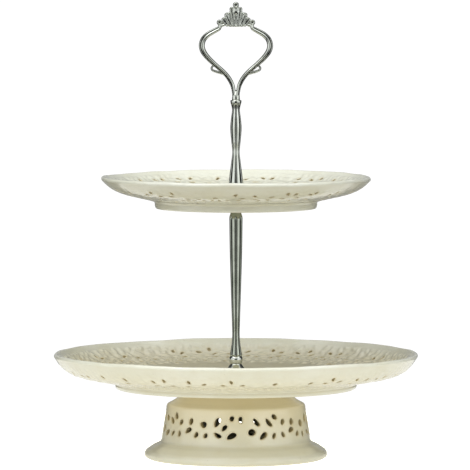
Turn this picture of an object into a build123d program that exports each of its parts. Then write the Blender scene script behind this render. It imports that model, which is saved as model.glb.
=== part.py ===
"""Two-tier cake stand: two pierced ceramic plates on a pierced ceramic pedestal, joined by fluted cast stems.

Frame: millimetres, +Z up, origin at the centre of the pedestal's contact ring on the table.
The handle's loop lies in the XZ plane, and +Y points to the back.

How it comes apart: a screw under the pedestal clamps pedestal, lower plate and lower stem together.
A stud in the upper stem passes through the upper plate into the lower stem, and a shorter stud in the
handle screws into the top of the upper stem. Every thread is a plain cylinder of its major radius.
"""

from build123d import *

import os
from math import atan, cos, pi, sin

from numpy import interp

os.makedirs("parts", exist_ok=True)

# ---------------------------------------------------------------- driving dimensions
LOWER_PLATE_R = 135.0
UPPER_PLATE_R = 99.5
FOOT_R = 67.8  # widest radius of the pedestal's flared foot

THREAD_R = 2.0  # M4, in every thread of the stand
THREAD_GAP = 0.05  # radial clearance of each thread in its hole
DRILLED_R = 3.5  # hole drilled in each ceramic piece
CLEARANCE_R = 2.3  # hole that a thread passes without engaging

# Thicknesses, bottom to top
DECK_T = 4.6
CUSHION_T = 1.2
LOWER_FLOOR_T = 4.6
LOWER_WASHER_T = 0.8
STEEL_T = 1.0
NYLON_T = 1.0
UPPER_FLOOR_T = 4.2
SEAL_T = 1.2

# Levels, bottom to top
DECK_TOP_Z = 53.8
LOWER_RECESS_Z = DECK_TOP_Z + CUSHION_T
LOWER_FLOOR_Z = LOWER_RECESS_Z + LOWER_FLOOR_T
STEM_FOOT_Z = LOWER_FLOOR_Z + LOWER_WASHER_T
LOWER_STEM_Z = 76.4
LOWER_STEM_TOP_Z = 186.2
UPPER_RECESS_Z = LOWER_STEM_TOP_Z + STEEL_T + NYLON_T
UPPER_FLOOR_Z = UPPER_RECESS_Z + UPPER_FLOOR_T
UPPER_STEM_Z = UPPER_FLOOR_Z + NYLON_T
UPPER_STEM_TOP_Z = 265.8
SCREW_SEAT_Z = DECK_TOP_Z - DECK_T - SEAL_T - STEEL_T

# Fasteners
SCREW_LENGTH = 35.0
SCREW_HEAD_R = 4.6
SCREW_HEAD_H = 3.0
SCREW_SLOT_W = 1.2
SCREW_SLOT_DEPTH = 1.5
STUD_IN_STEM = 12.0  # reach of the upper stud into each stem
HANDLE_STUD_DOWN = 7.0
HANDLE_STUD_UP = 6.0
HOLE_SPARE = 0.5  # each tapped hole is this much deeper than its thread

# Piercings: flowers of oval petals round a solid centre
PETALS = 5
PEDESTAL_FLOWERS = 14
LOWER_FLOWERS = 30
UPPER_FLOWERS = 24

FLUTES = 8  # round each stem


def write(piece, label):
    """Names a finished piece and writes its STEP file."""
    piece.part.label = label
    export_step(piece.part, f"parts/{label}.step")


# ---------------------------------------------------------------- ceramics: shared shapes
def petal_planes(flowers, petal_ring, surface):
    """Planes on the wall, one for each petal of a ring of flowers, with x running out from the flower's centre.

    surface(across) gives the wall's radius, height and normal, as a tilt from +Z, across from the flowers' centre.
    """
    planes = []
    for flower in range(flowers):
        for petal in range(PETALS):
            turn = pi / 2 + 2 * pi * petal / PETALS
            radius, height, tilt = surface(petal_ring * sin(turn))
            angle = 2 * pi * (flower + 0.5) / flowers + petal_ring * cos(turn) / radius
            outward = Vector(cos(angle), sin(angle), 0)
            sideways = Vector(-sin(angle), cos(angle), 0)
            upward = Vector(0, 0, 1)
            across = upward * sin(tilt) - outward * cos(tilt)
            planes.append(
                Plane(
                    origin=outward * radius + upward * height,
                    x_dir=sideways * cos(turn) + across * sin(turn),
                    z_dir=outward * sin(tilt) + upward * cos(tilt),
                )
            )
    return planes


class PlateShape:
    """A plate's section: a straight wall rises from the foot ring, curls up from bend_r and ends in a round lip."""

    def __init__(self, outer_r, thick, ring_r, ring_z, slope, bend_r, lift):
        self.thick, self.ring_r, self.ring_z = thick, ring_r, ring_z
        self.slope, self.bend_r, self.lift = slope, bend_r, lift
        self.end_r = outer_r - 0.1 * thick  # where the lip's half circle starts
        self.end_angle = atan(self.underside(self.end_r)[1])

    def underside(self, r):
        """Height and slope of the underside at radius r."""
        curl = self.end_r - self.bend_r
        share = max(0.0, (r - self.bend_r) / curl)
        height = self.ring_z + self.slope * (r - self.ring_r) + self.lift * share**3
        return height, self.slope + 3 * self.lift * share**2 / curl

    def facing(self, r):
        """The point of the upper surface that faces radius r of the underside."""
        height, slope = self.underside(r)
        angle = atan(slope)
        return r - self.thick * sin(angle), height + self.thick * cos(angle)

    def section(self, recess_z, floor_z, foot_z, ring_width):
        """Half of the plate's section: drilled hole, recess, foot ring, wall, lip and well."""
        rounding = 1.5
        ring_in = self.ring_r - ring_width
        floor_r = self.ring_r - 9
        stops = [self.bend_r + (self.end_r - self.bend_r) * share for share in (0, 0.35, 0.6, 0.8, 1)]
        outer = [(r, self.underside(r)[0]) for r in (self.ring_r, *stops)]
        inner = [self.facing(r) for r in stops]
        across_lip = (cos(self.end_angle), sin(self.end_angle))
        lip = tuple((a + b + self.thick * d) / 2 for a, b, d in zip(outer[-1], inner[-1], across_lip))
        with BuildSketch(Plane.XZ) as half:
            with BuildLine():
                Polyline((DRILLED_R, floor_z), (DRILLED_R, recess_z), (ring_in - 2, recess_z), (ring_in, foot_z + 0.8))
                Polyline((ring_in, foot_z + 0.8), (ring_in + 0.8, foot_z), (self.ring_r - rounding, foot_z))
                RadiusArc((self.ring_r - rounding, foot_z), (self.ring_r, foot_z + rounding), -rounding)
                Line((self.ring_r, foot_z + rounding), outer[0])
                Spline(*outer)
                ThreePointArc(outer[-1], lip, inner[-1])
                Spline(*reversed(inner), (floor_r, floor_z), tangents=((-across_lip[0], -across_lip[1]), (-1, 0)))
                Line((floor_r, floor_z), (DRILLED_R, floor_z))
            make_face()
        return half.sketch

    def band(self, middle_r):
        """The wall's surface for petal_planes, across inwards from middle_r."""

        def surface(across):
            r = middle_r - across
            height, slope = self.underside(r)
            return r, height + self.thick / 2, -atan(slope)

        return surface


# ---------------------------------------------------------------- pedestal
WALL_T = 5.0
DRUM_LOW_R, DRUM_LOW_Z = 55.2, 16.5
DRUM_HIGH_R, DRUM_HIGH_Z = 51.5, 38.6
DRUM_LEAN = atan((DRUM_LOW_R - DRUM_HIGH_R) / (DRUM_HIGH_Z - DRUM_LOW_Z))
FLOWER_Z = 29.0
NECK_R = 38.6


def drum(across):
    """The drum's wall for petal_planes, across upwards from the flowers' centres."""
    share = (FLOWER_Z + across - DRUM_LOW_Z) / (DRUM_HIGH_Z - DRUM_LOW_Z)
    return DRUM_LOW_R + share * (DRUM_HIGH_R - DRUM_LOW_R), FLOWER_Z + across, pi / 2 - DRUM_LEAN


with BuildPart() as pedestal:
    with BuildSketch(Plane.XZ):
        with BuildLine():
            # outside, from the contact ring up over the flared foot, the drum and the shoulder
            Line((58.0, 0), (61.0, 0))
            Spline(
                (61.0, 0),
                (65.6, 0.9),
                (FOOT_R, 4.2),
                (65.4, 8.3),
                (60.6, 10.6),
                (56.6, 13.0),
                (DRUM_LOW_R, DRUM_LOW_Z),
                tangents=((1, 0), (-0.05, 1)),
            )
            Polyline((DRUM_LOW_R, DRUM_LOW_Z), (DRUM_HIGH_R, DRUM_HIGH_Z), (51.7, 40.2), (50.8, 41.0))
            Spline((50.8, 41.0), (46.6, 43.4), (41.8, 46.0), (NECK_R, DECK_TOP_Z - 1), tangents=((-1, 0.35), (-0.1, 1)))
            Polyline((NECK_R, DECK_TOP_Z - 1), (NECK_R - 1, DECK_TOP_Z), (DRILLED_R, DECK_TOP_Z))
            # inside, back down the hollow
            Polyline(
                (DRILLED_R, DECK_TOP_Z),
                (DRILLED_R, DECK_TOP_Z - DECK_T),
                (33.0, DECK_TOP_Z - DECK_T),
                (36.4, 44.2),
                (45.6, 38.4),
                (DRUM_LOW_R - WALL_T, DRUM_LOW_Z - 1),
            )
            Spline((DRUM_LOW_R - WALL_T, DRUM_LOW_Z - 1), (51.6, 10.5), (58.0, 0), tangents=((0.1, -1), (0.7, -1)))
        make_face()
    revolve(axis=Axis.Z)
    with BuildSketch(*petal_planes(PEDESTAL_FLOWERS, 6.9, drum)):
        Ellipse(2.7, 1.65)
    extrude(amount=WALL_T + 2, both=True, mode=Mode.SUBTRACT)
write(pedestal, "pedestal")

# ---------------------------------------------------------------- plates
LOWER_SHAPE = PlateShape(LOWER_PLATE_R, thick=4.5, ring_r=89.4, ring_z=57.0, slope=0.2, bend_r=112.0, lift=9.5)
UPPER_SHAPE = PlateShape(UPPER_PLATE_R, thick=4.2, ring_r=60.0, ring_z=191.1, slope=0.24, bend_r=76.0, lift=5.6)

with BuildPart() as lower_plate:
    revolve(LOWER_SHAPE.section(LOWER_RECESS_Z, LOWER_FLOOR_Z, foot_z=52.5, ring_width=4.6), axis=Axis.Z)
    with BuildSketch(*petal_planes(LOWER_FLOWERS, 6.6, LOWER_SHAPE.band(120.0))):
        Ellipse(2.5, 1.35)
    extrude(amount=LOWER_SHAPE.thick, both=True, mode=Mode.SUBTRACT)
write(lower_plate, "lower_plate")

with BuildPart() as upper_plate:
    revolve(UPPER_SHAPE.section(UPPER_RECESS_Z, UPPER_FLOOR_Z, foot_z=185.8, ring_width=4.4), axis=Axis.Z)
    with BuildSketch(*petal_planes(UPPER_FLOWERS, 6.3, UPPER_SHAPE.band(86.5))):
        Ellipse(2.4, 1.3)
    extrude(amount=UPPER_SHAPE.thick, both=True, mode=Mode.SUBTRACT)
write(upper_plate, "upper_plate")

# ---------------------------------------------------------------- washers: name, underside, thickness, radius
WASHERS = (
    ("base_steel_washer", SCREW_SEAT_Z, STEEL_T, 9.0),
    ("base_rubber_washer", SCREW_SEAT_Z + STEEL_T, SEAL_T, 10.0),
    ("lower_plate_cushion_disc", DECK_TOP_Z, CUSHION_T, 32.0),
    ("lower_plate_top_washer", LOWER_FLOOR_Z, LOWER_WASHER_T, 12.5),
    ("upper_plate_support_washer", LOWER_STEM_TOP_Z, STEEL_T, 9.0),
    ("upper_plate_bottom_washer", LOWER_STEM_TOP_Z + STEEL_T, NYLON_T, 9.5),
    ("upper_plate_top_washer", UPPER_FLOOR_Z, NYLON_T, 9.5),
)
for label, underside, thick, outer_r in WASHERS:
    with BuildPart() as washer:
        with BuildSketch(Plane.XY.offset(underside)):
            Circle(outer_r)
            Circle(CLEARANCE_R, mode=Mode.SUBTRACT)
        extrude(amount=thick)
        chamfer(washer.edges().filter_by(GeomType.CIRCLE).group_by(SortBy.RADIUS)[-1], 0.2)
    write(washer, label)

# ---------------------------------------------------------------- fasteners
with BuildPart() as base_screw:
    with BuildSketch(Plane.XY.offset(SCREW_SEAT_Z)):
        Circle(THREAD_R)
    extrude(amount=SCREW_LENGTH)
    chamfer(base_screw.edges().sort_by(Axis.Z)[-1], 0.5)
    with BuildSketch(Plane.XY.offset(SCREW_SEAT_Z - SCREW_HEAD_H)):
        Circle(SCREW_HEAD_R)
    extrude(amount=SCREW_HEAD_H)
    fillet(base_screw.edges().sort_by(Axis.Z)[0], 1.2)
    with BuildSketch(Plane.XY.offset(SCREW_SEAT_Z - SCREW_HEAD_H)):
        Rectangle(2 * SCREW_HEAD_R, SCREW_SLOT_W)
    extrude(amount=SCREW_SLOT_DEPTH, mode=Mode.SUBTRACT)
write(base_screw, "base_screw")

STUDS = (
    ("upper_stud", LOWER_STEM_TOP_Z - STUD_IN_STEM, UPPER_STEM_Z + STUD_IN_STEM),
    ("handle_stud", UPPER_STEM_TOP_Z - HANDLE_STUD_DOWN, UPPER_STEM_TOP_Z + HANDLE_STUD_UP),
)
for label, low_z, high_z in STUDS:
    with BuildPart() as stud:
        with BuildSketch(Plane.XY.offset(low_z)):
            Circle(THREAD_R)
        extrude(amount=high_z - low_z)
        chamfer(stud.edges().filter_by(GeomType.CIRCLE), 0.4)
    write(stud, label)


# ---------------------------------------------------------------- stems
def tapped_hole(low_z, high_z):
    """Cutter for a hole on the axis that takes a thread."""
    with BuildPart() as cutter:
        with BuildSketch(Plane.XY.offset(low_z)):
            Circle(THREAD_R + THREAD_GAP)
        extrude(amount=high_z - low_z)
    return cutter.part


def fluted_section(height, radius, groove):
    """Cross-section of a stem: round ribs with hollow flutes between them, cut groove deep into the radius."""
    points = []
    for step in range(2 * FLUTES):
        reach = radius - groove * (step % 2)
        points.append((reach * cos(pi * step / FLUTES), reach * sin(pi * step / FLUTES)))
    with BuildSketch(Plane.XY.offset(height)) as section:
        with BuildLine():
            Spline(*points, periodic=True)
        make_face()
    return section.sketch


def fluted_stem(outline, sections=22):
    """Evenly spaced sections of a fluted stem along its outline, (height, radius) points of the ribs' crests."""
    crest = Edge.make_spline([Vector(radius, height) for height, radius in outline])
    points = [crest @ (step / (sections - 1)) for step in range(sections)]
    return [fluted_section(height=point.Y, radius=point.X, groove=0.11 * point.X) for point in points]


with BuildPart() as lower_stem_foot:
    with BuildSketch(Plane.XZ):
        with BuildLine():
            Polyline((CLEARANCE_R, LOWER_STEM_Z), (CLEARANCE_R, STEM_FOOT_Z), (11.4, STEM_FOOT_Z))
            Polyline((11.4, STEM_FOOT_Z), (11.9, STEM_FOOT_Z + 0.5), (11.9, STEM_FOOT_Z + 1.3))
            Spline(
                (11.9, STEM_FOOT_Z + 1.3),
                (8.9, 63.9),
                (6.3, 67.5),
                (4.1, 70.6),
                tangents=((-1, 0.3), (-0.3, 1)),
            )
            ThreePointArc((4.1, 70.6), (5.05, 73.3), (4.2, LOWER_STEM_Z))
            Line((4.2, LOWER_STEM_Z), (CLEARANCE_R, LOWER_STEM_Z))
        make_face()
    revolve(axis=Axis.Z)
write(lower_stem_foot, "lower_stem_foot")

with BuildPart() as lower_stem:
    loft(
        fluted_stem(
            (
                (LOWER_STEM_Z, 4.8),
                (80.0, 4.1),
                (85.0, 3.25),
                (91.6, 2.8),
                (100.0, 3.0),
                (118.0, 3.6),
                (140.0, 4.3),
                (160.0, 4.8),
                (179.6, 5.05),
            )
        )
    )
    with BuildSketch(Plane.XZ):
        with BuildLine():
            Polyline((0, 179.6), (4.5, 179.6))
            Spline((4.5, 179.6), (4.3, 181.3), (3.7, 183.2), tangents=((0.2, 1), (-0.2, 1)))
            Polyline((3.7, 183.2), (3.7, LOWER_STEM_TOP_Z), (0, LOWER_STEM_TOP_Z), (0, 179.6))
        make_face()
    revolve(axis=Axis.Z)
    add(tapped_hole(LOWER_STEM_Z, SCREW_SEAT_Z + SCREW_LENGTH + HOLE_SPARE), mode=Mode.SUBTRACT)
    add(tapped_hole(LOWER_STEM_TOP_Z - STUD_IN_STEM - HOLE_SPARE, LOWER_STEM_TOP_Z), mode=Mode.SUBTRACT)
write(lower_stem, "lower_stem")

with BuildPart() as upper_stem:
    loft(
        fluted_stem(
            (
                (UPPER_STEM_Z, 6.2),
                (196.0, 6.6),
                (205.0, 5.5),
                (214.0, 4.4),
                (221.0, 3.4),
                (227.6, 2.75),
                (236.0, 3.6),
                (244.9, 4.25),
                (252.0, 3.8),
                (259.0, 3.1),
                (262.8, 3.2),
            )
        )
    )
    with BuildSketch(Plane.XZ):
        with BuildLine():
            Polyline((0, 262.8), (3.0, 262.8), (4.0, 264.0), (4.0, 265.3), (3.6, UPPER_STEM_TOP_Z))
            Polyline((3.6, UPPER_STEM_TOP_Z), (0, UPPER_STEM_TOP_Z), (0, 262.8))
        make_face()
    revolve(axis=Axis.Z)
    add(tapped_hole(UPPER_STEM_Z, UPPER_STEM_Z + STUD_IN_STEM + HOLE_SPARE), mode=Mode.SUBTRACT)
    add(tapped_hole(UPPER_STEM_TOP_Z - HANDLE_STUD_DOWN - HOLE_SPARE, UPPER_STEM_TOP_Z), mode=Mode.SUBTRACT)
write(upper_stem, "upper_stem")

# ---------------------------------------------------------------- handle
# Stations of each cast limb, as centre x, centre z, width in the plane of the loop and depth across it
ARM = (
    (1.5, UPPER_STEM_TOP_Z + 1, 2.8, 5.2),
    (1.7, 271.5, 2.9, 5.2),
    (4.3, 278.0, 3.7, 5.0),
    (10.8, 286.5, 4.2, 5.0),
    (19.3, 294.9, 4.5, 5.0),
    (24.7, 301.6, 5.2, 5.2),
    (25.6, 305.6, 5.4, 5.2),
    (24.2, 309.4, 5.2, 5.2),
    (19.0, 314.1, 4.4, 5.0),
    (10.0, 320.0, 3.6, 4.4),
)
SPUR = (
    (10.4, 286.2, 2.4, 3.6),
    (14.2, 285.8, 2.8, 3.4),
    (17.6, 286.8, 2.4, 3.0),
    (18.7, 288.6, 1.8, 2.6),
    (17.3, 290.2, 1.2, 2.0),
)
CROWN_BASE_Z = 319.5
CROWN_BEADS = ((0, 336.3, 2.5), (3.9, 331.8, 1.9), (7.0, 328.0, 1.8), (8.7, 324.2, 1.7))  # x, z, radius
VOLUTE_X, VOLUTE_Z, VOLUTE_R = 12.2, 322.5, 2.4
BOSS_R = 3.0


def limb(stations, sections):
    """Oval sections evenly spaced along a cast limb, each square to the limb's run."""
    run = Edge.make_spline([Vector(x, 0, z) for x, z, width, depth in stations])
    shares = [run.param_at_point(Vector(x, 0, z)) for x, z, width, depth in stations]
    widths = [width for x, z, width, depth in stations]
    depths = [depth for x, z, width, depth in stations]
    faces = []
    for step in range(sections):
        share = step / (sections - 1)
        with BuildSketch(Plane(origin=run @ share, x_dir=(0, 1, 0), z_dir=run % share)) as section:
            Ellipse(interp(share, shares, depths) / 2, interp(share, shares, widths) / 2)
        faces.append(section.sketch)
    return faces


with BuildPart() as handle:
    loft(limb(ARM, sections=18))
    loft(limb(SPUR, sections=7))
    with Locations(Plane(origin=(VOLUTE_X, 0, VOLUTE_Z), z_dir=(0, 1, 0)).location):
        Cylinder(VOLUTE_R, 4.6)
    for x, z, radius in CROWN_BEADS[1:]:
        rib = Vector(x, 0, z - CROWN_BASE_Z)
        with Locations((x, 0, z)):
            Sphere(radius)
        with Locations(Plane(origin=(x / 2, 0, (z + CROWN_BASE_Z) / 2), z_dir=rib).location):
            Cone(1.0, 0.85 * radius, rib.length)
    mirror(about=Plane.YZ)
    tip_x, tip_z, tip_r = CROWN_BEADS[0]
    with Locations((tip_x, 0, tip_z)):
        Sphere(tip_r)
    with Locations((0, 0, (tip_z + CROWN_BASE_Z) / 2)):
        Cone(1.2, 0.85 * tip_r, tip_z - CROWN_BASE_Z)
    with BuildSketch(Plane.XZ):
        with Locations((0, CROWN_BASE_Z + 1)):
            SlotCenterToCenter(16.0, 5.0)
    extrude(amount=1.3, both=True)
    with BuildSketch(Plane.XY.offset(UPPER_STEM_TOP_Z)):
        Circle(BOSS_R)
    extrude(amount=HANDLE_STUD_UP + 1)
    add(tapped_hole(UPPER_STEM_TOP_Z, UPPER_STEM_TOP_Z + HANDLE_STUD_UP + HOLE_SPARE), mode=Mode.SUBTRACT)
write(handle, "handle")
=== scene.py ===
"""The looks of a two-tier cake stand: pierced cream ware on fluted, plated castings, in the CAD's frame.

Shapes are worked out in millimetres and turned into metres when a piece is made.
"""

from math import atan, cos, pi, radians, sin, sqrt

import bmesh
import bpy
import numpy as np
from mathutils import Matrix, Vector
from mathutils.geometry import delaunay_2d_cdt


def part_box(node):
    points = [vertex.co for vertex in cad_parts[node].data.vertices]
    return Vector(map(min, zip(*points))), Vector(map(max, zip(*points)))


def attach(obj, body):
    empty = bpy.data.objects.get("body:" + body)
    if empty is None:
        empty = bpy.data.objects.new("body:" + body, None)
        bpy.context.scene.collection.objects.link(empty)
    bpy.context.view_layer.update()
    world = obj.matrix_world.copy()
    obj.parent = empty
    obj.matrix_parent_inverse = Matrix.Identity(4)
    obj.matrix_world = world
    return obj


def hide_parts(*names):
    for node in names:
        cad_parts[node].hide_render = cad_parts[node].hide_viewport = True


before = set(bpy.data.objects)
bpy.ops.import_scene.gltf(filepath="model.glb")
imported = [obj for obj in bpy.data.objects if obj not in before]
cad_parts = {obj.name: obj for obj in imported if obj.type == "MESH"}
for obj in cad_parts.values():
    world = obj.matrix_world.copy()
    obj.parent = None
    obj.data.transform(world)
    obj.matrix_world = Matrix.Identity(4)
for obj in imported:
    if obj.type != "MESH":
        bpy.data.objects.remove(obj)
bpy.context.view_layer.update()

MM = 0.001


def shown(name, data):
    """A new object of the scene around its data."""
    thing = bpy.data.objects.new(name, data)
    bpy.context.scene.collection.objects.link(thing)
    return thing


def place(node):
    """A CAD node's lowest and highest corners, in millimetres."""
    low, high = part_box(node)
    return low / MM, high / MM


# ---------------- levels and radii, from the frame
PEDESTAL_HIGH = place("pedestal")[1]
LOWER_LOW, LOWER_HIGH = place("lower_plate")
UPPER_LOW, UPPER_HIGH = place("upper_plate")
LOWER_RECESS_Z = place("lower_plate_cushion_disc")[1].z
LOWER_FLOOR_Z = place("lower_plate_top_washer")[0].z
UPPER_RECESS_Z = place("upper_plate_bottom_washer")[1].z
UPPER_FLOOR_Z = place("upper_plate_top_washer")[0].z
DRILLED_R = 3.5


# ---------------- outlines
def hermite(start, leave, end, arrive, steps):
    """Points of a smooth curve from start to end, both left out, with the given run at each end."""
    start, leave, end, arrive = (np.array(v, float) for v in (start, leave, end, arrive))
    points = []
    for step in range(1, steps):
        t = step / steps
        points.append(
            (2 * t**3 - 3 * t**2 + 1) * start
            + (t**3 - 2 * t**2 + t) * leave
            + (3 * t**2 - 2 * t**3) * end
            + (t**3 - t**2) * arrive
        )
    return points


def rounded(corners, radii, steps=4):
    """A run of straight lines whose inner corners are rounded; the first and last corners stay."""
    corners = [np.array(c, float) for c in corners]
    points = [corners[0]]
    for before, corner, after, radius in zip(corners, corners[1:], corners[2:], radii):
        back, ahead = before - corner, after - corner
        back_len, ahead_len = np.linalg.norm(back), np.linalg.norm(ahead)
        back, ahead = back / back_len, ahead / ahead_len
        reach = min(radius, 0.45 * back_len, 0.45 * ahead_len)
        first, last = corner + back * reach, corner + ahead * reach
        for step in range(steps + 1):
            t = step / steps
            points.append((1 - t) ** 2 * first + 2 * t * (1 - t) * corner + t**2 * last)
    points.append(corners[-1])
    return points


def smooth_line(points, steps):
    """A Catmull-Rom curve through the points, ends included, with steps spans between neighbours."""
    points = [np.array(p, float) for p in points]
    ends = [2 * points[0] - points[1], *points, 2 * points[-1] - points[-2]]
    line = []
    for a, b, c, d in zip(ends, ends[1:], ends[2:], ends[3:]):
        for step in range(steps):
            t = step / steps
            square, cube = (2 * a - 5 * b + 4 * c - d) * t**2, (3 * b - a - 3 * c + d) * t**3
            line.append(0.5 * (2 * b + (c - a) * t + square + cube))
    line.append(points[-1])
    return line


def lifted(foot, outline):
    """(radius, height) points whose heights are given above foot, or below it as negative numbers."""
    return [(radius, foot + up) for radius, up in outline]


def about_z(radius, z, angles):
    """Points at the angles about Z, each at its radius and height."""
    return np.stack((radius * np.cos(angles), radius * np.sin(angles), np.broadcast_to(z, len(angles))), -1)


# ---------------- mesh building
class Builder:
    """Gathers the vertices and faces of one piece, with a glaze value for each vertex: glaze pooling and
    painted shade for the ceramics, painted shade in the grooves for the castings.
    """

    def __init__(self):
        self.points, self.faces, self.glaze = [], [], []
        self.count = 0

    def add(self, points, faces, glaze=0.0):
        """Adds points (n x 3 in millimetres) and faces that count from the first of them."""
        points = np.asarray(points, float)
        self.points.append(points)
        self.glaze.append(np.broadcast_to(np.asarray(glaze, float), len(points)))
        self.faces += [tuple(i + self.count for i in face) for face in faces]
        self.count += len(points)

    def revolve(self, outline, columns, glaze=0.0):
        """Turns an open (radius, height) outline about Z."""
        angles = 2 * pi * np.arange(columns) / columns
        self.tube([about_z(radius, z, angles) for radius, z in outline], glaze)

    def tube(self, rings, glaze=0.0):
        """Joins closed rings of points, each with the same number, into a tube."""
        count = len(rings[0])
        faces = []
        for i in range(len(rings) - 1):
            for j in range(count):
                k = (j + 1) % count
                faces.append((i * count + j, i * count + k, (i + 1) * count + k, (i + 1) * count + j))
        self.add(np.concatenate(rings), faces, glaze)

    def cap(self, ring, outline):
        """Carries a ring of points on through (radius, height) stops, each stop round."""
        angles = np.arctan2(ring[:, 1], ring[:, 0])
        self.tube([ring, *(about_z(radius, z, angles) for radius, z in outline)])

    def finish(self, name, material, body, *nodes, bend=None, weld=0.004, slot=None):
        points = np.concatenate(self.points)
        glaze = np.concatenate(self.glaze)
        if bend:
            points = bend(points)
        mesh = bpy.data.meshes.new(name)
        mesh.from_pydata((points * MM).tolist(), [], self.faces)
        # the glaze values, which the materials turn into glaze pooling and painted shade
        layer = mesh.attributes.new("glaze", "FLOAT", "POINT")
        layer.data.foreach_set("value", glaze.astype(np.float32))
        work = bmesh.new()
        work.from_mesh(mesh)
        bmesh.ops.remove_doubles(work, verts=work.verts, dist=weld * MM)
        bmesh.ops.dissolve_degenerate(work, edges=work.edges, dist=1e-7)
        bmesh.ops.recalc_face_normals(work, faces=work.faces)
        work.to_mesh(mesh)
        work.free()
        mesh.shade_smooth()
        piece = shown(name, mesh)
        mesh.materials.append(material)
        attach(piece, body)
        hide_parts(*nodes)
        return piece


# ---------------- pierced walls
# A hole's rounded edge, as shares of the edge's radius: out from the hole, down into the wall
EDGE_STEPS = ((1.0, 0.0), (0.62, 0.08), (0.29, 0.29), (0.08, 0.62), (0.0, 1.0))


def petal(length, breadth, angle, taper=0.25, bend=0.0, points=20):
    """Outline of a hand-cut hole: an oval, fuller at its outer end and bent by a share of its length."""
    turn = 2 * pi * np.arange(points) / points
    along = length / 2 * np.cos(turn)
    across = breadth / 2 * np.sin(turn) * (1 + taper * np.cos(turn))
    across = across + bend * (4 * along**2 / length - length / 2)
    return np.stack((along * cos(angle) - across * sin(angle), along * sin(angle) + across * cos(angle)), -1)


def widened(outline, amount):
    """The outline moved outwards by amount."""
    ahead = np.roll(outline, -1, 0) - np.roll(outline, 1, 0)
    ahead /= np.linalg.norm(ahead, axis=1)[:, None]
    return outline + amount * np.stack((ahead[:, 1], -ahead[:, 0]), -1)


def nearest(points, others):
    """Distance from each point to the nearest of the others."""
    if not len(others):
        return np.full(len(points), 1e3)
    gaps = points[:, None, :] - others[None, :, :]
    return np.sqrt((gaps**2).sum(-1)).min(1)


def inside(points, loop):
    """Which points lie inside a closed loop."""
    x, y = points[:, 0][:, None], points[:, 1][:, None]
    x0, y0 = loop[:, 0][None], loop[:, 1][None]
    x1, y1 = np.roll(loop[:, 0], -1)[None], np.roll(loop[:, 1], -1)[None]
    crosses = (y0 > y) != (y1 > y)
    with np.errstate(divide="ignore", invalid="ignore"):
        hits = crosses & (x < (x1 - x0) * (y - y0) / (y1 - y0) + x0)
    return hits.sum(1) % 2 == 1


def dense(loop, parts=3):
    """More points along a closed loop, for measuring distances to it."""
    ahead = np.roll(loop, -1, 0)
    return np.concatenate([loop + (ahead - loop) * k / parts for k in range(parts)])


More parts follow.
